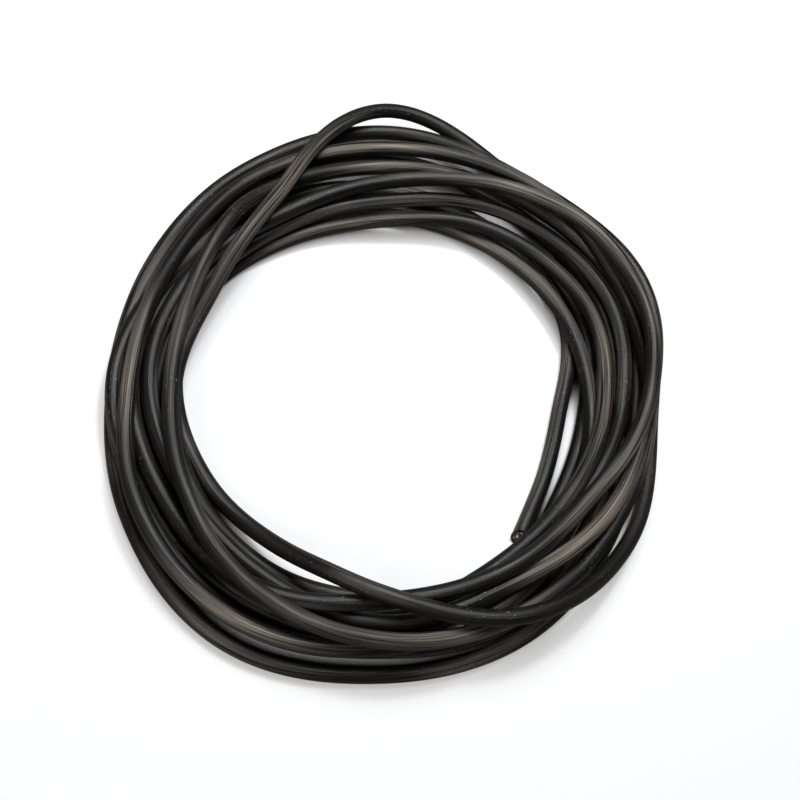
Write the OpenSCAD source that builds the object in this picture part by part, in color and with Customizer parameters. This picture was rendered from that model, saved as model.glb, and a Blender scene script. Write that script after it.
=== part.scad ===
/* [Cable] */
// Outer diameter of the rubber sheath
cable_d = 10; // [7:0.5:14]
// Wall of the rubber sheath
sheath_t = 1.3; // [0.9:0.1:1.6]
// Thickness of the separator tape under the sheath
tape_t = 0.15; // [0.1:0.05:0.2]
// Clearance between one layer of the cable and the next
layer_gap = 0.05; // [0.02:0.01:0.1]

/* [Cores] */
// Diameter of the stranded copper conductor in each core
wire_d = 1.6; // [1:0.1:2.2]

/* [Coil] */
// Radius of the circle that the turns are laid round
coil_r = 150; // [120:5:200]
// Clear gap between turns that lie side by side
turn_gap = 0.8; // [0.6:0.1:2]

/* [Ends] */
// Straight length of cable at each cut end
end_l = 20; // [15:1:30]
// How far the insulated cores stand out of the cut sheath
core_out = 0.6; // [0.3:0.1:3]
// How far the copper stands out of the insulation
wire_out = 0.7; // [0.3:0.1:3]
// How far the fillers and the tape end short of the cut sheath
filler_in = 0.3; // [0.1:0.1:1]

/* [Hidden] */
$fn = 48;

CORES = ["earth", "blue", "brown"];
FILLERS = ["1", "2", "3"];
LAYERS = ["sheath", "tape"];
ENDS = ["cut_end", "tail_end"];

// Colours of the rubber, the tape, the strings, the copper and the three cores
rubber_c = [0.12, 0.11, 0.10];
tape_c = [0.86, 0.84, 0.78];
string_c = [0.78, 0.74, 0.64];
copper_c = [0.80, 0.46, 0.28];
core_c = [[0.30, 0.55, 0.16], [0.10, 0.28, 0.62], [0.36, 0.18, 0.09]];

// Bores of the layers, from the outside in
sheath_bore = cable_d - 2 * sheath_t;
tape_d = sheath_bore - 2 * layer_gap;
tape_bore = tape_d - 2 * tape_t;

// Three equal cores that touch one another fill the tape's bore
laid_up_d = tape_bore - 2 * layer_gap;
core_d = laid_up_d / (1 + 2 / sqrt(3)) - layer_gap;
core_ring_r = (laid_up_d - core_d) / 2;
core_bore = wire_d + 2 * layer_gap;

// A filler string fills the valley that two cores and the tape leave
valley_r = (pow(laid_up_d / 2, 2) + pow(core_ring_r, 2) - core_ring_r * laid_up_d / 2
    - pow(core_d / 2, 2)) / (core_d + laid_up_d - core_ring_r);
filler_d = 2 * (valley_r - layer_gap);
filler_ring_r = laid_up_d / 2 - valley_r;

// The turns lie in lanes: lane 0 is the circle of coil_r, and lanes are one pitch apart
pitch = cable_d + turn_gap;
// A turn on the ground is pressed a tenth of its diameter flat
ground_z = 0.4 * cable_d;
hours = 12;
turn_rings = 24;
tube_sides = 6;
ease_passes = 4;
hold_share = 0.5;

// Lane of the cable at each hour of each turn, anticlockwise from +X
lane_rows = [
    [0, 0, 0, 0, 0, 0, 0, 0, 0, -0.9, -2, -3.3],
    [-3.1, -0.7, 0.35, 0.95, 0.75, 0.5, 1.3, 1.1, 1.45, 0.9, 0.8, 0.2],
    [0.4, 2, 2.6, 3.3, 1.95, 1.05, 0.15, 0.5, 0.4, 0.1, -1.1, -1.3],
    [-1.45, -1.15, -1, -1, -0.95, -0.5, 0.3, -0.05, -0.1, -1.35, -1.4, -0.95],
    [1.4, 2.98, 2.05, 0.18, -1.2, -1, -0.65, -1.1, -1, -0.35, -0.7, 0.45],
    [1.75, 4.05, 3.95, 5.15, 3.7, 2, 1.35, 1.95, 2.7, 2, 1.85, 1.45],
    [1.6, 3.58, 3, 1.98, 0.65, -1.4, -1.9, -1.15, 0.2, 0.8, 0.9, 1.15],
    [2.1, 2.75, 3.35, 3.2, 2.25, 0.6, 0.3, 1.4, 1.75, 0.95, -0.1, -1.1],
    [0.35, 2.22, 1.45, -0.6, -1.5, -1.55, -1, -0.55, -0.65, -0.95, -2, -1.9],
    [-0.9, 0.4, -0.4, -1.92, -2, -1.6, -1.95, -2.6, -2.7, -1.35, 1.25, 2.35],
    [2.6, 5.15, 4.6, 6.2, -0.35, -2.4, -2, -1.65, -1.7, -1.95, -1.1, -2.1],
    [-1.5, 0.45, 0.9, 0.8, 0, 0, 0, 0, 0, 0, 0, 0]
];
// Order of the turns at the same hours, where a turn lies on those of lower order
order_rows = [
    [0, 0, 0, 0, 0, 0, 0, 0, 0, 0, 0, 0],
    [0, 0, 0, 0, 0, 1, 1, 1, 1, 1, 1, 1],
    [0, 0, 0, 0, 0, 0, 0, 0, 0, 0, 0.5, 1],
    [1, 1, 0.5, 0.5, 0.5, 1, 1.5, 1.5, 2.2, 3, 4, 4],
    [5, 5, 4, 3, 3, 3, 2.5, 2, 2, 2.5, 2.5, 3.5],
    [4.5, 2.6, 1.5, 1, 1, 0.5, 0, 0, 0, 0, 0, 0],
    [0.6, 1.4, 1.2, 1, 3.2, 4, 5, 5, 5, 5, 3, 2],
    [0.8, 1.9, 2.5, 2, 3.4, 3.5, 3.5, 3.5, 3, 3, 1.5, 2],
    [1.5, 1, 1, 2.1, 1, 1, 0.5, 0.5, 0.5, 0.5, 2.5, 3],
    [3, 3, 2, 1.5, 0.6, 0, 0, 0, 2, 6, 6, 1],
    [0.5, 0, 0, 2, 6, 3, 2, 0.2, 0, 0, 0, 0],
    [0, 0, 0, 0, 0, 0, 0, 0, 0, 0, 0, 0]
];
lanes = [for (row = lane_rows) for (lane = row) lane];
orders = [for (row = order_rows) for (order = row) order];

// Hours, counted through the turns, at which the coil starts and ends
start_hour = 10.8;
first_hour = 11;
last_hour = 133;
end_hour = 133.3;

// Smooth curve through a list of values, and straight lines through one
function curve(list, x) =
    let (k = floor(x), t = x - k, a = list[k - 1], b = list[k], c = list[k + 1], d = list[k + 2])
    b + t * ((c - a) + t * ((2 * a - 5 * b + 4 * c - d) + t * (3 * b - a - 3 * c + d))) / 2;
function line(list, x) =
    let (k = floor(x), t = x - k)
    list[k] * (1 - t) + list[min(k + 1, len(list) - 1)] * t;

// Where the cable is at an hour, at a height
function radius_at(hour) = coil_r + pitch * curve(lanes, hour);
function place(hour, z) =
    let (angle = hour * 360 / hours)
    [radius_at(hour) * cos(angle), radius_at(hour) * sin(angle), z];

// Each ring of the tube has an hour, a lane, an order and an outward slope
ring_step = hours / turn_rings;
ring_count = (last_hour - first_hour) / ring_step + 1;
ring_hours = [for (k = [0:ring_count - 1]) first_hour + k * ring_step];
ring_lanes = [for (hour = ring_hours) curve(lanes, hour)];
ring_orders = [for (hour = ring_hours) line(orders, hour)];
ring_slopes = [for (hour = ring_hours)
    (radius_at(hour + ring_step) - radius_at(hour - ring_step)) / 2
    / (radius_at(hour) * PI * 2 / turn_rings)];

// Least distance in pitches between two turns, as far as hold_share of the way to the next ring
function lane_gap(i, j) = ring_lanes[i] - ring_lanes[j];
function apart(i, j, step) =
    min(i, j) + step < 0 || max(i, j) + step > ring_count - 1 ? abs(lane_gap(i, j)) :
    let (near = lane_gap(i, j) * (1 - hold_share) + lane_gap(i + step, j + step) * hold_share)
    near * lane_gap(i, j) < 0 ? 0 : min(abs(near), abs(lane_gap(i, j)));
// The same across the way that the turns run
function across(i, j) =
    min(apart(i, j, -1), apart(i, j, 1)) / sqrt(1 + pow(ring_slopes[i] - ring_slopes[j], 2));
function is_under(j, i) =
    ring_orders[j] < ring_orders[i] || (ring_orders[j] == ring_orders[i] && j < i);
// A ring rests on the rings under it at the same angle, and on its own eased height
function rest(i, eased) = max(concat([eased[i]], [
    for (j = [i % turn_rings:turn_rings:ring_count - 1])
        if (is_under(j, i) && across(i, j) < 1)
            rest(j, eased) + sqrt(1 - pow(across(i, j), 2))
]));
function settle(eased) = [for (i = [0:ring_count - 1]) rest(i, eased)];
function ease(z) = [for (i = [0:ring_count - 1])
    (z[max(i - 1, 0)] + 2 * z[i] + z[min(i + 1, ring_count - 1)]) / 4];
function lay(z, passes) = passes == 0 ? z : lay(settle(ease(z)), passes - 1);
ring_heights = lay(settle([for (i = [0:ring_count - 1]) 0]), ease_passes);

// The ends leave the coil level and straight, square to the cable beyond them
function unit(v) = v / norm(v);
start_way = unit(place(first_hour, 0) - place(start_hour, 0));
end_way = unit(place(end_hour, 0) - place(last_hour, 0));
laid_path = concat(
    [for (l = [0, cable_d]) place(start_hour, cable_d / 2) + l * start_way],
    [for (i = [1:ring_count - 1]) place(ring_hours[i], ground_z + pitch * ring_heights[i])],
    [for (l = [cable_d, 0]) place(end_hour, cable_d / 2) - l * end_way]
);

// Corners of one ring of a tube round a path, none of them below the ground
function way_at(path, k) = unit(path[min(k + 1, len(path) - 1)] - path[max(k - 1, 0)]);
function ring_corners(path, k, r) =
    let (side = unit(cross(way_at(path, k), [0, 0, 1])), over = cross(side, way_at(path, k)))
    [for (s = [0:tube_sides - 1])
        let (a = s * 360 / tube_sides, p = path[k] + r * (cos(a) * side + sin(a) * over))
        [p.x, p.y, max(p.z, 0)]];
function tube_corners(path, r) = [for (k = [0:len(path) - 1]) each ring_corners(path, k, r)];

// The coil is set down with the middle of its own box at the origin
laid_corners = tube_corners(laid_path, cable_d / 2);
function middle(values) = (min(values) + max(values)) / 2;
box_middle = [middle([for (p = laid_corners) p.x]), middle([for (p = laid_corners) p.y]), 0];
coil_path = [for (p = laid_path) p - box_middle];
start_point = coil_path[0];
end_point = coil_path[len(coil_path) - 1];

// Least gap between turns, on points along the straight runs between the rings
run_points = 3;
path_points = [for (k = [0:len(coil_path) - 2]) for (t = [0:run_points - 1])
    coil_path[k] + (coil_path[k + 1] - coil_path[k]) * t / run_points];
least_gap = min([
    for (i = [0:len(path_points) - 1]) for (j = [i + turn_rings:len(path_points) - 1])
        norm(path_points[i] - path_points[j])
]) - cable_d;
function length_from(k) =
    k > len(coil_path) - 2 ? 0 : norm(coil_path[k + 1] - coil_path[k]) + length_from(k + 1);
cable_length = 2 * end_l + length_from(0);

// Triangles between the rings of a tube, facing out, or in when flipped
function wall_faces(first, flip) = [
    for (k = [0:len(coil_path) - 2]) for (s = [0:tube_sides - 1])
        let (
            a = first + k * tube_sides + s,
            b = first + k * tube_sides + (s + 1) % tube_sides,
            c = a + tube_sides,
            d = b + tube_sides
        )
        each flip ? [[a, c, b], [b, c, d]] : [[a, b, c], [b, d, c]]
];

// A tube of sheath along the whole coil, open at both ends
module coil_tube(outer_r, inner_r) {
    rings = len(coil_path);
    inner = rings * tube_sides;
    far = (rings - 1) * tube_sides;
    points = concat(tube_corners(coil_path, outer_r), tube_corners(coil_path, inner_r));
    rims = [for (s = [0:tube_sides - 1]) let (n = (s + 1) % tube_sides) each [
        [s, inner + s, n],
        [n, inner + s, inner + n],
        [far + s, far + n, inner + far + s],
        [far + n, inner + far + n, inner + far + s]
    ]];
    polyhedron(points, concat(wall_faces(0, false), wall_faces(inner, true), rims));
}

// A solid cord along the whole coil
module coil_cord(r) {
    rings = len(coil_path);
    far = (rings - 1) * tube_sides;
    caps = [for (s = [1:tube_sides - 2]) each [[0, s + 1, s], [far, far + s, far + s + 1]]];
    polyhedron(tube_corners(coil_path, r), concat(wall_faces(0, false), caps));
}

// Stands a child's +Z along the cable, out of the coil's start or its end
module at_end(end) {
    point = end == 0 ? start_point : end_point;
    way = end == 0 ? -start_way : end_way;
    translate(point) rotate([0, 90, atan2(way.y, way.x)]) children();
}
// Round the cable's axis in thirds of a turn, the other way round at the other end
module at_third(end, i, ring_r) {
    at_end(end) rotate((end == 0 ? 120 : -120) * i) translate([ring_r, 0, 0]) children();
}
module ring_wall(outer_d, bore, length) {
    difference() {
        cylinder(d = outer_d, h = length);
        translate([0, 0, -1]) cylinder(d = bore, h = length + 2);
    }
}

module coil_sheath() {
    echo(least_gap_mm = least_gap, cable_length_mm = cable_length, core_diameter_mm = core_d);
    color(rubber_c) coil_tube(cable_d / 2, sheath_bore / 2);
}
// The three cores, their strings and their tape, as one cord inside the coil
module coil_cores() {
    color(tape_c) coil_cord(tape_d / 2);
}
module end_sheath(end) {
    color(rubber_c) at_end(end) ring_wall(cable_d, sheath_bore, end_l);
}
module end_tape(end) {
    color(tape_c) at_end(end) ring_wall(tape_d, tape_bore, end_l - filler_in);
}
module end_insulation(end, i) {
    color(core_c[i]) at_third(end, i, core_ring_r) ring_wall(core_d, core_bore, end_l + core_out);
}
module end_conductor(end, i) {
    color(copper_c) at_third(end, i, core_ring_r)
        cylinder(d = wire_d, h = end_l + core_out + wire_out);
}
// A string lies opposite each core
module end_filler(end, i) {
    color(string_c) at_third(end, i, -filler_ring_r) cylinder(d = filler_d, h = end_l - filler_in);
}

coil_sheath();
coil_cores();
for (end = [0:1]) {
    end_sheath(end);
    end_tape(end);
    for (i = [0:2]) {
        end_insulation(end, i);
        end_conductor(end, i);
        end_filler(end, i);
    }
}
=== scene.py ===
import math

import bpy
from mathutils import Matrix, Vector
from mathutils.noise import noise


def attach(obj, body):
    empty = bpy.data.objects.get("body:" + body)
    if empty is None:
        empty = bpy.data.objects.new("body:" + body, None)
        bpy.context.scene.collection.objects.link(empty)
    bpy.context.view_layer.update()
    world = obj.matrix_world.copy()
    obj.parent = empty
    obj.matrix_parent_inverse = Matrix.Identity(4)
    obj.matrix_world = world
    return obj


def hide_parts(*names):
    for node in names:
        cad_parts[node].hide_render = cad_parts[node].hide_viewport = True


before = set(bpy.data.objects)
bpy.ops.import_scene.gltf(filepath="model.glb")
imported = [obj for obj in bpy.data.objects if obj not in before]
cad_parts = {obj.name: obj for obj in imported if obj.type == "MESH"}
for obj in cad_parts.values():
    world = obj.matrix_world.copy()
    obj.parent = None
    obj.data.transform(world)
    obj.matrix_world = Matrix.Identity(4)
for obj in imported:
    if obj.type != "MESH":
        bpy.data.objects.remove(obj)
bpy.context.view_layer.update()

mm = 0.001
tiny = 1e-9  # keeps a whole hour from being rounded down
up = Vector((0, 0, 1))

# The route of the cable. Lane 0 is the circle of the coil's radius, and lanes lie one pitch apart.
coil = {
    "cableDiameter": 10 * mm,
    "radius": 150 * mm,
    "lanePitch": 10.8 * mm,
    "hours": 12,  # to a turn
    "startHour": 10.8, "firstHour": 11, "lastHour": 133, "endHour": 133.3,
    "endLength": 20 * mm,  # straight cable at each cut end
    "turnRings": 24, "boxSides": 6,  # the solid's rings to a turn, and the sides of a ring
    "easePasses": 4,  # times that the heights of the rings are eased
    "holdShare": 0.5,  # how far towards the next ring a crossing turn still rests on this one
    "pathSteps": 6,  # points on the route to an hour
    "straightParts": 2,  # parts of the route at each end that aren't curved
    "trackParts": 4,  # pieces of the smooth line to a part
    "wayReach": 2 * mm,  # its direction is taken between points this far to both sides
    "ringLength": 4 * mm,  # from one ring of the sheath to the next
}

# Lane of the cable at each hour of each turn, anticlockwise from +X
laneRows = [
    [0, 0, 0, 0, 0, 0, 0, 0, 0, -0.9, -2, -3.3],
    [-3.1, -0.7, 0.35, 0.95, 0.75, 0.5, 1.3, 1.1, 1.45, 0.9, 0.8, 0.2],
    [0.4, 2, 2.6, 3.3, 1.95, 1.05, 0.15, 0.5, 0.4, 0.1, -1.1, -1.3],
    [-1.45, -1.15, -1, -1, -0.95, -0.5, 0.3, -0.05, -0.1, -1.35, -1.4, -0.95],
    [1.4, 2.98, 2.05, 0.18, -1.2, -1, -0.65, -1.1, -1, -0.35, -0.7, 0.45],
    [1.75, 4.05, 3.95, 5.15, 3.7, 2, 1.35, 1.95, 2.7, 2, 1.85, 1.45],
    [1.6, 3.58, 3, 1.98, 0.65, -1.4, -1.9, -1.15, 0.2, 0.8, 0.9, 1.15],
    [2.1, 2.75, 3.35, 3.2, 2.25, 0.6, 0.3, 1.4, 1.75, 0.95, -0.1, -1.1],
    [0.35, 2.22, 1.45, -0.6, -1.5, -1.55, -1, -0.55, -0.65, -0.95, -2, -1.9],
    [-0.9, 0.4, -0.4, -1.92, -2, -1.6, -1.95, -2.6, -2.7, -1.35, 1.25, 2.35],
    [2.6, 5.15, 4.6, 6.2, -0.35, -2.4, -2, -1.65, -1.7, -1.95, -1.1, -2.1],
    [-1.5, 0.45, 0.9, 0.8, 0, 0, 0, 0, 0, 0, 0, 0]
]
# Order of the turns at the same hours, where a turn lies on those of lower order
orderRows = [
    [0, 0, 0, 0, 0, 0, 0, 0, 0, 0, 0, 0],
    [0, 0, 0, 0, 0, 1, 1, 1, 1, 1, 1, 1],
    [0, 0, 0, 0, 0, 0, 0, 0, 0, 0, 0.5, 1],
    [1, 1, 0.5, 0.5, 0.5, 1, 1.5, 1.5, 2.2, 3, 4, 4],
    [5, 5, 4, 3, 3, 3, 2.5, 2, 2, 2.5, 2.5, 3.5],
    [4.5, 2.6, 1.5, 1, 1, 0.5, 0, 0, 0, 0, 0, 0],
    [0.6, 1.4, 1.2, 1, 3.2, 4, 5, 5, 5, 5, 3, 2],
    [0.8, 1.9, 2.5, 2, 3.4, 3.5, 3.5, 3.5, 3, 3, 1.5, 2],
    [1.5, 1, 1, 2.1, 1, 1, 0.5, 0.5, 0.5, 0.5, 2.5, 3],
    [3, 3, 2, 1.5, 0.6, 0, 0, 0, 2, 6, 6, 1],
    [0.5, 0, 0, 2, 6, 3, 2, 0.2, 0, 0, 0, 0],
    [0, 0, 0, 0, 0, 0, 0, 0, 0, 0, 0, 0]
]
lanes = [lane for row in laneRows for lane in row]
orders = [order for row in orderRows for order in row]


def smoothAt(values, x):  # Catmull-Rom through a list
    k = min(max(math.floor(x + tiny), 0), len(values) - 1)
    t = x - k
    a, b, c, d = (values[min(max(k + n, 0), len(values) - 1)] for n in (-1, 0, 1, 2))
    return b + (c - a) * t / 2 + (a - 2.5 * b + 2 * c - d / 2) * t**2 + (3 * b - a - 3 * c + d) * t**3 / 2


def lineAt(values, x):
    k = math.floor(x + tiny)
    t = x - k
    return values[k] * (1 - t) + values[min(k + 1, len(values) - 1)] * t


def radiusAt(hour):
    return coil["radius"] + coil["lanePitch"] * smoothAt(lanes, hour)


def placeAt(hour, height=0.0):
    angle = hour * math.tau / coil["hours"]
    return Vector((radiusAt(hour) * math.cos(angle), radiusAt(hour) * math.sin(angle), height))


def wayBetween(low, high):
    return (placeAt(coil[high]) - placeAt(coil[low])).normalized()


def ringHeights():  # how high each ring of the solid rests, in pitches
    step = coil["hours"] / coil["turnRings"]
    count = round((coil["lastHour"] - coil["firstHour"]) / step) + 1
    hours = [coil["firstHour"] + k * step for k in range(count)]
    ringLanes = [smoothAt(lanes, hour) for hour in hours]
    ringOrders = [lineAt(orders, hour) for hour in hours]
    arc = math.tau / coil["turnRings"]
    slopes = [(radiusAt(h + step) - radiusAt(h - step)) / 2 / (radiusAt(h) * arc) for h in hours]
    hold = coil["holdShare"]

    def apart(i, j, way):
        gap = ringLanes[i] - ringLanes[j]
        if min(i, j) + way < 0 or max(i, j) + way > count - 1:
            return abs(gap)
        near = gap * (1 - hold) + (ringLanes[i + way] - ringLanes[j + way]) * hold
        return 0 if near * gap < 0 else min(abs(near), abs(gap))

    under = []
    for i in range(count):
        touched = []
        for j in range(i % coil["turnRings"], count, coil["turnRings"]):
            if (ringOrders[j], j) < (ringOrders[i], i):
                gap = min(apart(i, j, -1), apart(i, j, 1)) / math.hypot(1, slopes[i] - slopes[j])
                if gap < 1:
                    touched.append((j, math.sqrt(1 - gap**2)))
        under.append(touched)
    fromBelow = sorted(range(count), key=lambda i: (ringOrders[i], i))

    def settled(eased):
        heights = list(eased)
        for i in fromBelow:
            heights[i] = max([eased[i]] + [heights[j] + rise for j, rise in under[i]])
        return heights

    heights = settled([0] * count)
    for _ in range(coil["easePasses"]):
        ends = [heights[0]] + heights + [heights[-1]]
        heights = settled([(ends[i] + 2 * ends[i + 1] + ends[i + 2]) / 4 for i in range(count)])
    return heights, hours


def boxMiddle(heights, hours):  # of the solid as it is laid, with its six-sided rings
    size, pitch = coil["cableDiameter"], coil["lanePitch"]
    startWay, endWay = wayBetween("startHour", "firstHour"), wayBetween("lastHour", "endHour")
    laid = [placeAt(coil["startHour"]) + reach * startWay for reach in (0, size)]
    laid += [placeAt(hour, pitch * height) for hour, height in zip(hours[1:], heights[1:])]
    laid += [placeAt(coil["endHour"]) - reach * endWay for reach in (size, 0)]
    corners = []
    for k, point in enumerate(laid):
        way = (laid[min(k + 1, len(laid) - 1)] - laid[max(k - 1, 0)]).normalized()
        side = way.cross(up).normalized()
        for s in range(coil["boxSides"]):
            a = s * math.tau / coil["boxSides"]
            corners.append(point + size / 2 * (math.cos(a) * side + math.sin(a) * side.cross(way)))
    return Vector([(min(c[n] for c in corners) + max(c[n] for c in corners)) / 2 for n in (0, 1)] + [0])


def cableRoute():
    size = coil["cableDiameter"]
    heights, hours = ringHeights()
    startWay, endWay = wayBetween("startHour", "firstHour"), wayBetween("lastHour", "endHour")
    start, end = placeAt(coil["startHour"]), placeAt(coil["endHour"])
    reach = coil["endLength"]
    route = [start - startWay * reach, start - startWay * reach / 2, start, start + startWay * size]
    steps = round((coil["lastHour"] - coil["firstHour"]) * coil["pathSteps"])
    for k in range(1, steps + 1):
        hour = coil["firstHour"] + k / coil["pathSteps"]
        ring = (hour - coil["firstHour"]) / (hours[1] - hours[0])
        route.append(placeAt(hour, size * max(smoothAt(heights, ring), 0)))
    route += [end - endWay * size, end, end + endWay * reach / 2, end + endWay * reach]
    middle = boxMiddle(heights, hours)
    return [point + up * size / 2 - middle for point in route], middle


print("laying the cable")
route, coilMiddle = cableRoute()


class Track:  # a smooth line through points, asked for by the distance along it
    def __init__(self, points, parts):
        self.points = []
        for k in range(len(points) - 1):
            a, b, c, d = (points[min(max(k + n, 0), len(points) - 1)] for n in (-1, 0, 1, 2))
            straight = min(k, len(points) - 2 - k) < coil["straightParts"]
            for n in range(parts):
                t = n / parts
                self.points.append(b.lerp(c, t) if straight else
                                   Vector([smoothAt([a[i], b[i], c[i], d[i]], 1 + t) for i in range(3)]))
        self.points.append(points[-1])
        self.along = [0.0]
        for a, b in zip(self.points, self.points[1:]):
            self.along.append(self.along[-1] + (b - a).length)
        self.length = self.along[-1]
        self.last = 0

    def at(self, distance):
        k = self.last
        while k > 0 and self.along[k] > distance:
            k -= 1
        while k < len(self.points) - 2 and self.along[k + 1] < distance:
            k += 1
        self.last = k
        t = (distance - self.along[k]) / (self.along[k + 1] - self.along[k])
        return self.points[k] + (self.points[k + 1] - self.points[k]) * t

    def frameAt(self, distance):
        low, high = max(distance - coil["wayReach"], 0), min(distance + coil["wayReach"], self.length)
        way = (self.at(high) - self.at(low)).normalized()
        side = way.cross(up).normalized()
        return self.at(distance), way, side, side.cross(way)


track = Track(route, coil["trackParts"])
print("cable length", round(track.length, 3), "m")


# The camera looks as a person does who stands over the coil
camera = {
    "lens": 48.6, "sensor": 36, "clip": (0.01, 20), "distance": 675 * mm,
    "look": (10 * mm, -4 * mm, 15 * mm), "tilt": 26, "turn": 20,
}


def makeCamera():
    tilt, turn = math.radians(camera["tilt"]), math.radians(camera["turn"])
    back = Vector((-math.sin(tilt) * math.sin(turn), -math.sin(tilt) * math.cos(turn), math.cos(tilt)))
    right = (-back).cross(Vector((0, 1, 0))).normalized()
    data = bpy.data.cameras.new("camera")
    data.lens, data.sensor_width = camera["lens"], camera["sensor"]
    data.clip_start, data.clip_end = camera["clip"]
    item = bpy.data.objects.new("camera", data)
    bpy.context.scene.collection.objects.link(item)
    look = Vector(camera["look"]) - coilMiddle
    turned = Matrix((right, back.cross(right), back)).transposed()
    item.matrix_world = Matrix.Translation(look + back * camera["distance"]) @ turned.to_4x4()
    bpy.context.scene.camera = item


makeCamera()


class Value:  # a socket that the arithmetic signs work on
    def __init__(self, finish, socket):
        self.finish, self.socket = finish, socket

    def __add__(self, other):
        return self.finish.maths("ADD", self, other)

    def __mul__(self, other):
        return self.finish.maths("MULTIPLY", self, other)


class Finish:  # a material whose node graph is written as Python expressions
    def __init__(self, name):
        self.material = bpy.data.materials.new(name)
        self.material.use_nodes = True
        self.tree = self.material.node_tree
        self.shader = self.tree.nodes["Principled BSDF"]

    def node(self, kind, settings, inputs, output=0):
        made = self.tree.nodes.new("ShaderNode" + kind)
        for name, value in settings.items():
            setattr(made, name, value)
        for name, value in inputs.items():
            self.feed(made.inputs[name], value)
        return Value(self, made.outputs[output])

    def feed(self, socket, value):
        if isinstance(value, Value):
            self.tree.links.new(value.socket, socket)
        else:
            socket.default_value = value

    def maths(self, operation, a, b):
        return self.node("Math", {"operation": operation}, {0: a, 1: b})

    def noiseOn(self, vector, scale, detail, roughness=0.5):
        place = self.node("Mapping", {}, {"Vector": vector, "Scale": scale})
        return self.node("TexNoise", {}, {"Vector": place, "Scale": 1.0,
                                          "Detail": detail, "Roughness": roughness})

    def between(self, value, low, high, fromLow, fromHigh):
        return self.node("MapRange", {}, {"Value": value, "From Min": fromLow, "From Max": fromHigh,
                                          "To Min": low, "To Max": high})

    def blend(self, factor, first, second):
        return self.node("Mix", {"data_type": "RGBA"}, {0: factor, 6: first, 7: second}, 2)

    def bump(self, height, distance, strength=1.0, under=None):
        inputs = {"Height": height, "Distance": distance, "Strength": strength}
        if under is not None:
            inputs["Normal"] = under
        return self.node("Bump", {}, inputs)

    def surface(self, **inputs):
        for name, value in inputs.items():
            self.feed(self.shader.inputs[name.replace("_", " ")], value)
        return self.material


def rgb(r, g, b):
    return (r, g, b, 1.0)


print("finishes")
rubber = {
    "dark": rgb(0.0036, 0.0035, 0.0034), "worn": rgb(0.235, 0.197, 0.160), "dust": rgb(0.36, 0.34, 0.30),
    # length and width of the long drag marks, of the shorter scuffs and hair lines on them,
    # of the stretches that are greyer than the rest, and of the dusty ones
    "streak": (260 * mm, 3.2 * mm), "scuff": (90 * mm, 1.3 * mm), "hair": (40 * mm, 0.5 * mm),
    "patch": (170 * mm, 24 * mm), "dusty": (70 * mm, 24 * mm),
    "streakShare": 0.3, "scuffShare": 0.35, "hairShare": 0.35,
    "markRange": (0.44, 0.57), "patchRange": (0.45, 0.66), "leastWorn": 0.05,
    "speck": 1.1 * mm, "speckRange": (0.69, 0.76), "dustyRange": (0.50, 0.62), "dustShare": 0.7,
    "gloss": 0.45, "roughness": (0.33, 0.50), "roughRange": (0.5, 1.0), "roughPatch": 0.5,
    "ridge": 0.55 * mm, "ridgeShare": 0.8, "grain": 0.35 * mm, "grainDepth": 0.02 * mm, "grainShare": 0.5,
}


def rubberFinish():
    f = Finish("sheathRubber")
    cable = f.node("Attribute", {"attribute_name": "cableSpace"}, {}, "Vector")

    def lengthwise(kind, detail=2, roughness=0.55):
        length, width = rubber[kind]
        return f.noiseOn(cable, (1 / length, 1 / width, 1 / width), detail, roughness)

    scuff, patch = lengthwise("scuff"), lengthwise("patch")
    lines = lengthwise("streak") * rubber["streakShare"] + scuff * rubber["scuffShare"]
    lines = lines + lengthwise("hair", 1) * rubber["hairShare"]
    marks = f.between(lines, 0.0, 1.0, *rubber["markRange"])
    worn = f.between(patch, rubber["leastWorn"], 1.0, *rubber["patchRange"])
    speck = f.between(f.noiseOn(cable, (1 / rubber["speck"],) * 3, 1), 0.0, 1.0, *rubber["speckRange"])
    dust = speck * f.between(lengthwise("dusty", 1, 0.5), 0.0, 1.0, *rubber["dustyRange"])
    colour = f.blend(marks * worn, rubber["dark"], rubber["worn"])
    colour = f.blend(dust * rubber["dustShare"], colour, rubber["dust"])
    rough = f.between(scuff + patch * rubber["roughPatch"], *rubber["roughness"], *rubber["roughRange"])
    grain = f.noiseOn(cable, (1 / rubber["grain"],) * 3, 2)
    ridges = f.bump(lines, rubber["ridge"], rubber["ridgeShare"])
    f.shader.inputs["Specular IOR Level"].default_value = rubber["gloss"]
    return f.surface(Base_Color=colour, Roughness=rough,
                     Normal=f.bump(grain, rubber["grainDepth"], rubber["grainShare"], ridges))


plain = {"detail": 3, "range": (0.3, 0.7), "roughSpread": 0.1}
plainLooks = {  # name, the two colours of its mottle, the mottle's size, roughness, depth, metal
    # The tape's two colours are a painted shade: darker than the pale tape itself, so it looks shaded
    # inside the cut end
    "separator_tape": ("separatorTape", rgb(0.24, 0.22, 0.19), rgb(0.34, 0.31, 0.27),
                       0.3 * mm, 0.8, 0.02 * mm, 0.0),
    "insulation_earth": ("earthInsulation", rgb(0.02, 0.08, 0.03), rgb(0.03, 0.10, 0.04),
                         1 * mm, 0.45, 0.01 * mm, 0.0),
    "insulation_blue": ("blueInsulation", rgb(0.010, 0.03, 0.12), rgb(0.015, 0.04, 0.15),
                        1 * mm, 0.45, 0.01 * mm, 0.0),
    "insulation_brown": ("brownInsulation", rgb(0.06, 0.022, 0.012), rgb(0.08, 0.03, 0.016),
                         1 * mm, 0.45, 0.01 * mm, 0.0),
    "copper": ("cutCopper", rgb(1.0, 0.56, 0.32), rgb(1.0, 0.80, 0.62),
               0.5 * mm, 0.42, 0.004 * mm, 0.2),
    "filler_string": ("fillerString", rgb(0.55, 0.5, 0.4), rgb(0.7, 0.66, 0.56),
                      0.12 * mm, 0.9, 0.03 * mm, 0.0),
}


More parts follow.
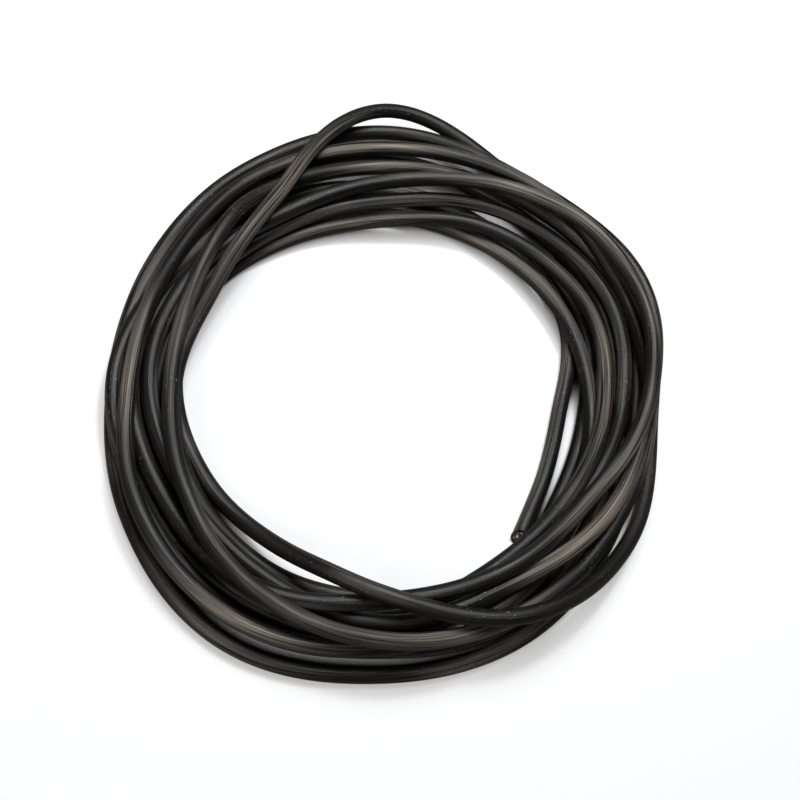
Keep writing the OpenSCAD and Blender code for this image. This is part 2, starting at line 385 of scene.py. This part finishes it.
def plainFinish(name, colour, second, size, roughness, depth, metal):
    f = Finish(name)
    place = f.node("TexCoord", {}, {}, "Object")
    mottle = f.noiseOn(place, (1 / size,) * 3, plain["detail"])
    low, high = roughness - plain["roughSpread"], roughness + plain["roughSpread"]
    f.shader.inputs["Metallic"].default_value = metal
    return f.surface(Base_Color=f.blend(f.between(mottle, 0, 1, *plain["range"]), colour, second),
                     Roughness=f.between(mottle, low, high, *plain["range"]), Normal=f.bump(mottle, depth))


finishes = {"sheath_rubber": rubberFinish()}
finishes.update((slotName, plainFinish(*look)) for slotName, look in plainLooks.items())


def meshPiece(name, points, faces, slotName):
    mesh = bpy.data.meshes.new(name)
    mesh.from_pydata(points, [], faces)
    mesh.validate()
    mesh.shade_smooth()
    mesh.materials.append(finishes[slotName])
    item = bpy.data.objects.new(name, mesh)
    bpy.context.scene.collection.objects.link(item)
    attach(item, "root")
    return item


# The sheath is one hollow tube along the whole route
sheath = {
    "sides": 24, "bore": 7.4 * mm, "boreDepth": 19.8 * mm,
    "lip": 0.25 * mm, "lipSoft": 0.3,  # rounding of the cut edge
    "nearRings": (1 * mm, 2.5 * mm), "evenFrom": 4 * mm,
    "cutSlope": 0.6, "cutReach": 12 * mm,  # the cut leans back at the top, eased over this length
    "cutLength": 3 * mm, "cutFlare": 0.35 * mm, "pinch": 0.03, "pinchTurn": 0.6,  # what the cutter pressed
    "cutWaver": 0.18 * mm, "waverSize": 2, "waverPace": 90,
    "lobe": 0.05 * mm, "lobeLay": 130 * mm,  # the laid-up cores show faintly through the rubber
    "swell": 0.07 * mm, "swellLength": 90 * mm,
    "wander": 1.6, "wanderPace": 2.1, "wanderRow": 3,  # how the print side of the cable rolls, in radians
}


def sheathStations():  # distance along the cable and radius, from the first bore round to the last
    size, bore, lip = coil["cableDiameter"] / 2, sheath["bore"] / 2, sheath["lip"]
    deep, soft, start = sheath["boreDepth"], lip * sheath["lipSoft"], sheath["evenFrom"]
    end = [(deep, 0), (deep, bore), (deep / 2, bore), (lip, bore), (soft, bore + soft), (0, bore + lip)]
    end += [(0, size - lip), (soft, size - soft), (lip, size)]
    end += [(near, size) for near in sheath["nearRings"]]
    even = track.length - 2 * start
    steps = round(even / coil["ringLength"])
    middle = [(start + even * k / steps, size) for k in range(steps + 1)]
    return end + middle + [(track.length - s, r) for s, r in reversed(end)]


def cutEase(fromEnd):
    return max(0.0, 1 - fromEnd / sheath["cutReach"])


def ringFaces(low, high, sides):  # between two rings, by the first point of each
    return [(low + s, low + (s + 1) % sides, high + (s + 1) % sides, high + s) for s in range(sides)]


def outerRadius(radius, a, distance, nearEnd):
    lobe = sheath["lobe"] * math.cos(3 * a - math.tau * distance / sheath["lobeLay"])
    swell = sheath["swell"] * noise(Vector((distance / sheath["swellLength"], math.cos(a), math.sin(a))))
    press = sheath["cutFlare"] + radius * sheath["pinch"] * math.cos(2 * a + sheath["pinchTurn"])
    return radius + lobe + swell + nearEnd * press


def makeSheath():
    points, space, faces = [], [], []
    stations = sheathStations()
    sides = sheath["sides"]
    for distance, radius in stations:
        centre, way, side, over = track.frameAt(distance)
        roll = sheath["wander"] * noise(Vector((distance * sheath["wanderPace"], sheath["wanderRow"], 0)))
        fromEnd = min(distance, track.length - distance)
        nearEnd = max(0, 1 - fromEnd / sheath["cutLength"]) ** 2
        outward = -1 if distance < track.length / 2 else 1
        isOuter = radius > sheath["bore"] / 2 + sheath["lip"]
        if radius == 0:
            points.append(centre)
            space.append((distance, 0, 0))
            continue
        for s in range(sides):
            a = s * math.tau / sides
            r = outerRadius(radius, a, distance, nearEnd) if isOuter else radius
            ragged = Vector((math.cos(a) * sheath["waverSize"], math.sin(a) * sheath["waverSize"],
                             distance * sheath["waverPace"]))
            waver = nearEnd * sheath["cutWaver"] * noise(ragged)
            lean = waver - cutEase(fromEnd) * sheath["cutSlope"] * r * math.sin(a)
            spot = centre + r * (math.cos(a) * side + math.sin(a) * over) + outward * way * lean
            spot.z = max(spot.z, 0)  # it lies on the floor, not in it
            points.append(spot)
            space.append((distance, r * math.cos(a + roll), r * math.sin(a + roll)))
    first = 0
    for (_, r0), (_, r1) in zip(stations, stations[1:]):
        if r0 == 0:
            ring = first + 1
            faces += [(first, ring + (s + 1) % sides, ring + s) for s in range(sides)]
            first = ring
        elif r1 == 0:
            faces += [(first + s, first + (s + 1) % sides, first + sides) for s in range(sides)]
        else:
            faces += ringFaces(first, first + sides, sides)
            first += sides
    item = meshPiece("sheath", points, faces, "sheath_rubber")
    item.data.attributes.new("cableSpace", "FLOAT_VECTOR", "POINT").data.foreach_set(
        "vector", [x for place in space for x in place])
    return item


print("sheath")
sheathPiece = makeSheath()
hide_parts("coil_sheath", "coil_cores", "cut_end_sheath", "tail_end_sheath")

# What shows in the two cut ends
core = {
    "diameter": 3.15 * mm, "ring": 1.87 * mm, "bore": 1.7 * mm, "sides": 32,
    "out": 0.6 * mm, "uneven": 0.1 * mm,  # how far the insulation stands out, and how unlike the three are
    "soft": 0.12 * mm, "softShare": 0.3, "outerRing": 2 * mm, "innerRing": 3 * mm,
    "lean": 0.12 * mm, "leanFrom": 0.9, "leanTurn": 0.9,
}
wire = {
    "out": 1.3 * mm, "strands": 30, "strandDiameter": 0.25 * mm, "lay": 30 * mm,
    "bundle": 0.71 * mm, "tip": 1.2 * mm, "uneven": 0.02, "fan": 0.2, "sides": 7, "rings": 14,
}
tape = {
    "outer": 7.3 * mm, "thick": 0.06 * mm, "overlap": 40, "short": 0.3 * mm, "steps": 60,
    "levels": (0, 0.5, 0.95, 1), "spiral": 1.25,
    "ragged": 0.12 * mm, "raggedPace": 2.5, "raggedRow": 300,
}
filler = {
    "diameter": 1.48 * mm, "ring": 2.66 * mm, "short": 0.3 * mm, "sides": 24, "rings": 40,
    "plies": 3, "plyDepth": 0.2, "lay": 9 * mm, "startStep": 1.1,
    "tip": 0.1 * mm, "tipShare": 0.55, "tipMiddle": 0.12 * mm,
}
coreNames = ["earth", "blue", "brown"]


def endMatrix(distance, outward):
    way = track.frameAt(distance)[1] * outward
    foot = track.at(distance) - way * coil["endLength"]
    across = Vector((-way.y, way.x, 0))
    return Matrix.Translation(foot) @ Matrix((-up, across, way)).transposed().to_4x4()


def insulationPiece(name, place, colourName, number):
    outer, inner, soft = core["diameter"] / 2, core["bore"] / 2, core["soft"]
    edge, sides = soft * core["softShare"], core["sides"]
    top = coil["endLength"] + core["out"] + core["uneven"] * number
    profile = [(outer, 0), (outer, top / 2), (outer, top - core["outerRing"]), (outer, top - soft),
               (outer - edge, top - edge), (outer - soft, top), (inner + soft, top), (inner, top - soft),
               (inner, top - core["innerRing"]), (inner, 0)]
    points = []
    for r, z in profile:
        nearTop = max(0, z / top - core["leanFrom"]) / (1 - core["leanFrom"])
        for s in range(sides):
            a = s * math.tau / sides
            lean = core["lean"] * math.cos(a + core["leanTurn"] * number) * nearTop
            points.append(place @ Vector((r * math.cos(a), r * math.sin(a), z + lean)))
    rings = len(profile)
    faces = [face for k in range(rings) for face in ringFaces(k * sides, (k + 1) % rings * sides, sides)]
    return meshPiece(name, points, faces, "insulation_" + colourName)


def tapePiece(name, place):
    turn = math.radians(360 + tape["overlap"])
    top, thickness, steps = coil["endLength"] - tape["short"], tape["thick"], tape["steps"]
    points = []
    for share in tape["levels"]:
        z = top * share
        for k in range(steps + 1):
            a = turn * k / steps
            ragged = noise(Vector((a * tape["raggedPace"], z * tape["raggedRow"], 1))) if share == 1 else 0
            inner = tape["outer"] / 2 - thickness - (1 - k / steps) * thickness * tape["spiral"]
            for r in (inner + thickness, inner):
                spot = Vector((r * math.cos(a), r * math.sin(a), z + tape["ragged"] * ragged))
                points.append(place @ spot)
    row = 2 * (steps + 1)
    last = (len(tape["levels"]) - 1) * row
    faces = []
    for level in range(0, last, row):
        for k in range(steps):
            o, i = level + 2 * k, level + 2 * k + 1
            faces += [(o, o + 2, o + 2 + row, o + row), (i, i + row, i + 2 + row, i + 2)]
        for k, flip in ((0, False), (steps, True)):
            o, i = level + 2 * k, level + 2 * k + 1
            faces.append((o, i, i + row, o + row) if flip else (o, o + row, i + row, i))
    for k in range(steps):
        o, i = 2 * k, 2 * k + 1
        faces.append((o, i, i + 2, o + 2))
        o, i = last + 2 * k, last + 2 * k + 1
        faces.append((o, o + 2, i + 2, i))
    return meshPiece(name, points, faces, "separator_tape")


def fillerPiece(name, place, start):
    top, sides, rings = coil["endLength"] - filler["short"], filler["sides"], filler["rings"]
    points = [place @ Vector((0, 0, 0))]
    levels = [(top * k / rings, 1) for k in range(rings + 1)] + [(top + filler["tip"], filler["tipShare"])]
    for z, share in levels:
        for s in range(sides):
            a = s * math.tau / sides
            phase = (a - start - math.tau * z / filler["lay"]) * filler["plies"] / 2
            ply = 1 - filler["plyDepth"] * (1 - abs(math.cos(phase)))
            r = filler["diameter"] / 2 * ply * share
            points.append(place @ Vector((r * math.cos(a), r * math.sin(a), z)))
    points.append(place @ Vector((0, 0, top + filler["tipMiddle"])))
    last = 1 + (len(levels) - 1) * sides
    faces = [(0, 1 + (s + 1) % sides, 1 + s) for s in range(sides)]
    for low in range(1, last, sides):
        faces += ringFaces(low, low + sides, sides)
    faces += [(last + s, last + (s + 1) % sides, len(points) - 1) for s in range(sides)]
    return meshPiece(name, points, faces, "filler_string")


def strandTree():  # fine wires in a sunflower pattern, twisted, with their cut tips a little apart
    tree = bpy.data.node_groups.new("strandBundle", "GeometryNodeTree")
    face = tree.interface
    sockets = (
        ("Strands", "NodeSocketInt", wire["strands"]), ("Bundle Radius", "NodeSocketFloat", wire["bundle"]),
        ("Strand Radius", "NodeSocketFloat", wire["strandDiameter"] / 2),
        ("Length", "NodeSocketFloat", coil["endLength"] + wire["out"]),
        ("Lay", "NodeSocketFloat", wire["lay"]), ("Tip", "NodeSocketFloat", wire["tip"]),
        ("Uneven", "NodeSocketFloat", wire["uneven"]), ("Fan", "NodeSocketFloat", wire["fan"]),
        ("Seed", "NodeSocketInt", 1),
    )
    for name, kind, value in sockets:
        face.new_socket(name, in_out="INPUT", socket_type=kind).default_value = value
    face.new_socket("Copper", in_out="INPUT", socket_type="NodeSocketMaterial")
    face.new_socket("Geometry", in_out="OUTPUT", socket_type="NodeSocketGeometry")

    def add(kind, settings=None, inputs=None):
        made = tree.nodes.new(kind)
        for key, value in (settings or {}).items():
            setattr(made, key, value)
        for key, value in (inputs or {}).items():
            if isinstance(value, bpy.types.NodeSocket):
                tree.links.new(value, made.inputs[key])
            else:
                made.inputs[key].default_value = value
        return made

    def maths(operation, a, b=0.0):
        return add("ShaderNodeMath", {"operation": operation}, {0: a, 1: b}).outputs[0]

    inside = add("NodeGroupInput").outputs
    index = add("GeometryNodeInputIndex").outputs[0]
    share = maths("DIVIDE", maths("ADD", index, 0.5), inside["Strands"])
    out = maths("MULTIPLY", maths("SQRT", share), inside["Bundle Radius"])
    angle = maths("MULTIPLY", index, math.pi * (3 - math.sqrt(5)))
    spot = add("ShaderNodeCombineXYZ", {}, {0: maths("MULTIPLY", out, maths("COSINE", angle)),
                                            1: maths("MULTIPLY", out, maths("SINE", angle))}).outputs[0]
    dots = add("GeometryNodePoints", {}, {"Count": inside["Strands"], "Position": spot}).outputs[0]
    rod = add("GeometryNodeMeshCylinder", {}, {
        "Vertices": wire["sides"], "Side Segments": wire["rings"],
        "Radius": inside["Strand Radius"], "Depth": inside["Length"]}).outputs[0]
    half = add("ShaderNodeCombineXYZ", {}, {2: maths("DIVIDE", inside["Length"], 2.0)}).outputs[0]
    rod = add("GeometryNodeTransform", {}, {"Geometry": rod, "Translation": half}).outputs[0]
    tall = add("FunctionNodeRandomValue", {"data_type": "FLOAT"},
               {2: maths("SUBTRACT", 1.0, inside["Uneven"]), 3: 1.0, "Seed": inside["Seed"]}).outputs[1]
    stretch = add("ShaderNodeCombineXYZ", {}, {0: 1.0, 1: 1.0, 2: tall}).outputs[0]
    many = add("GeometryNodeInstanceOnPoints", {},
               {"Points": dots, "Instance": rod, "Scale": stretch}).outputs[0]
    solid = add("GeometryNodeRealizeInstances", {}, {"Geometry": many}).outputs[0]
    position = add("GeometryNodeInputPosition").outputs[0]
    z = add("ShaderNodeSeparateXYZ", {}, {0: position}).outputs[2]
    twist = maths("MULTIPLY", maths("DIVIDE", z, inside["Lay"]), math.tau)
    turned = add("ShaderNodeVectorRotate", {"rotation_type": "Z_AXIS"},
                 {"Vector": position, "Angle": twist}).outputs[0]
    pastTip = maths("SUBTRACT", z, maths("SUBTRACT", inside["Length"], inside["Tip"]))
    tip = maths("MAXIMUM", maths("DIVIDE", pastTip, inside["Tip"]), 0.0)
    wider = maths("ADD", 1.0, maths("MULTIPLY", maths("MULTIPLY", tip, tip), inside["Fan"]))
    widening = add("ShaderNodeCombineXYZ", {}, {0: wider, 1: wider, 2: 1.0}).outputs[0]
    fanned = add("ShaderNodeVectorMath", {"operation": "MULTIPLY"}, {0: turned, 1: widening}).outputs[0]
    laid = add("GeometryNodeSetPosition", {}, {"Geometry": solid, "Position": fanned}).outputs[0]
    coloured = add("GeometryNodeSetMaterial", {},
                   {"Geometry": laid, "Material": inside["Copper"]}).outputs[0]
    add("NodeGroupOutput", {}, {"Geometry": coloured})
    return tree


def strandPiece(name, place, seed):
    blank = bpy.data.meshes.new(name + "Blank")
    item = bpy.data.objects.new(name, blank)
    bpy.context.scene.collection.objects.link(item)
    bundle = item.modifiers.new("strands", "NODES")
    bundle.node_group = bundleTree
    sockets = {s.name: s.identifier for s in bundleTree.interface.items_tree if s.in_out == "INPUT"}
    bundle[sockets["Seed"]] = seed
    bundle[sockets["Copper"]] = finishes["copper"]
    bpy.context.view_layer.update()
    mesh = bpy.data.meshes.new_from_object(item.evaluated_get(bpy.context.evaluated_depsgraph_get()))
    item.modifiers.clear()
    item.data = mesh
    mesh.name = name
    mesh.transform(place)
    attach(item, "root")
    return item


def leanCut(place, pieces):  # shears the last stretch of each piece as the sheath's own cut leans
    back = place.inverted()
    for piece in pieces:
        for vertex in piece.data.vertices:
            spot = back @ vertex.co
            fromCut = coil["endLength"] - min(spot.z, coil["endLength"])
            spot.z += cutEase(fromCut) * sheath["cutSlope"] * spot.x
            vertex.co = place @ spot


def makeEnd(name, solid, place, handed, seed):
    made = [tapePiece(name + "Tape", place)]
    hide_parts(solid + "_tape")
    for i, colour in enumerate(coreNames):
        number, label = str(i + 1), colour.capitalize()
        spin = place @ Matrix.Rotation(handed * math.tau / 3 * i, 4, "Z")
        corePlace = spin @ Matrix.Translation((core["ring"], 0, 0))
        fillerPlace = spin @ Matrix.Translation((-filler["ring"], 0, 0))
        skin = insulationPiece(name + "Insulation" + label, corePlace, colour, i - 1)
        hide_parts(solid + "_insulation_" + colour)
        strands = strandPiece(name + "Conductor" + label, corePlace, seed + i)
        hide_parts(solid + "_conductor_" + colour)
        cord = fillerPiece(name + "Filler" + number, fillerPlace, i * filler["startStep"])
        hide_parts(solid + "_filler_" + number)
        made += [skin, strands, cord]
    leanCut(place, made)
    return made


print("cut ends")
bundleTree = strandTree()
endPieces = makeEnd("cutEnd", "cut_end", endMatrix(0, -1), 1, 10)
endPieces += makeEnd("tailEnd", "tail_end", endMatrix(track.length, 1), -1, 20)

track.at(0)

studio = {
    "floorSize": 6,
    "floorColour": rgb(0.66, 0.66, 0.6666),  # as the camera sees it
    "floorBounce": rgb(0.22, 0.22, 0.22),  # as it lights the cable
    "floorGlow": 0.38, "glowGrows": (0.45, 1.2),  # metres from the middle
    "paintedShadeReach": 30 * mm, "gapSamples": 32,  # how far from the cable the floor's painted shade reaches
    "glowShadeRange": (0.20, 0.50), "paintedShadeRange": (0.18, 0.34), "paintedShadeLeast": 0.02,  # painted shade of the floor's glow and colour, between closed and open floor
    "worldColour": rgb(0.04, 0.04, 0.0412),
    "keyPlace": (0.08, 0.45, 1.28), "keySize": 0.8, "keyPower": 13.0, "keyColour": (0.96, 0.985, 1.0),
    "backPlace": (0.26, 0.66, 1.52), "backSize": 0.22, "backPower": 9.0, "backColour": (0.97, 0.985, 1.0),
    "fillPlace": (-0.75, -0.75, 1.15), "fillSize": 0.7, "fillPower": 5.0, "fillColour": (1.0, 0.95, 0.89),
}


# The floor's own white shows to the camera only.
# Near and between the turns of the cable, ambient occlusion darkens its white and its colour as a painted
# shade, and its white grows far from the coil.
def floorFinish():
    f = Finish("floorWhite")
    black, white = rgb(0, 0, 0), rgb(1, 1, 1)
    seen = f.node("LightPath", {}, {}, "Is Camera Ray")
    openness = f.node("AmbientOcclusion", {"samples": studio["gapSamples"]},
                      {"Distance": studio["paintedShadeReach"]}, "AO")
    place = f.node("TexCoord", {}, {}, "Object")
    away = f.node("VectorMath", {"operation": "LENGTH"}, {0: place}, "Value")
    strength = f.between(away, studio["floorGlow"], 1.0, *studio["glowGrows"])
    # Painted shade: ambient occlusion darkens the floor's white glow and its colour near and between the
    # turns
    glowWithPaintedShade = f.between(openness, 0.0, 1.0, *studio["glowShadeRange"]) * strength * seen
    paintedShade = f.between(openness, studio["paintedShadeLeast"], 1.0, *studio["paintedShadeRange"])
    shade = f.blend(seen, studio["floorBounce"], studio["floorColour"])
    f.shader.inputs["Specular IOR Level"].default_value = 0
    f.shader.inputs["Emission Strength"].default_value = 1
    return f.surface(Base_Color=f.blend(paintedShade, black, shade), Roughness=1.0,
                     Emission_Color=f.blend(glowWithPaintedShade, black, white))


def makeFloor():
    half = studio["floorSize"] / 2
    mesh = bpy.data.meshes.new("floor")
    corners = [(-half, -half, 0), (half, -half, 0), (half, half, 0), (-half, half, 0)]
    mesh.from_pydata(corners, [], [(0, 1, 2, 3)])
    mesh.materials.append(floorFinish())
    floor = bpy.data.objects.new("floor", mesh)
    bpy.context.scene.collection.objects.link(floor)


def makeLamp(name, place, size, power, colour):
    data = bpy.data.lights.new(name, "AREA")
    data.shape, data.size, data.energy, data.color = "DISK", size, power, colour
    lamp = bpy.data.objects.new(name, data)
    lamp.location = place
    lamp.rotation_euler = Vector(place).to_track_quat("Z", "Y").to_euler()
    bpy.context.scene.collection.objects.link(lamp)
    return lamp


def makeWorld():
    world = bpy.data.worlds.new("studioWhite")
    world.use_nodes = True
    tree = world.node_tree
    rays, shade = tree.nodes.new("ShaderNodeLightPath"), tree.nodes.new("ShaderNodeMix")
    shade.data_type = "RGBA"
    shade.inputs[6].default_value, shade.inputs[7].default_value = studio["worldColour"], rgb(1, 1, 1)
    tree.links.new(rays.outputs["Is Camera Ray"], shade.inputs[0])
    tree.links.new(shade.outputs[2], tree.nodes["Background"].inputs["Color"])
    bpy.context.scene.world = world


print("floor and lights")
makeFloor()
makeWorld()
for kind in ("key", "back", "fill"):
    lamp = makeLamp(kind + "Lamp", *(studio[kind + part] for part in ("Place", "Size", "Power", "Colour")))
    lamp.visible_glossy = kind != "back"  # the back lamp leaves no hard glint on the rubber
bpy.context.scene.view_settings.view_transform = "Standard"
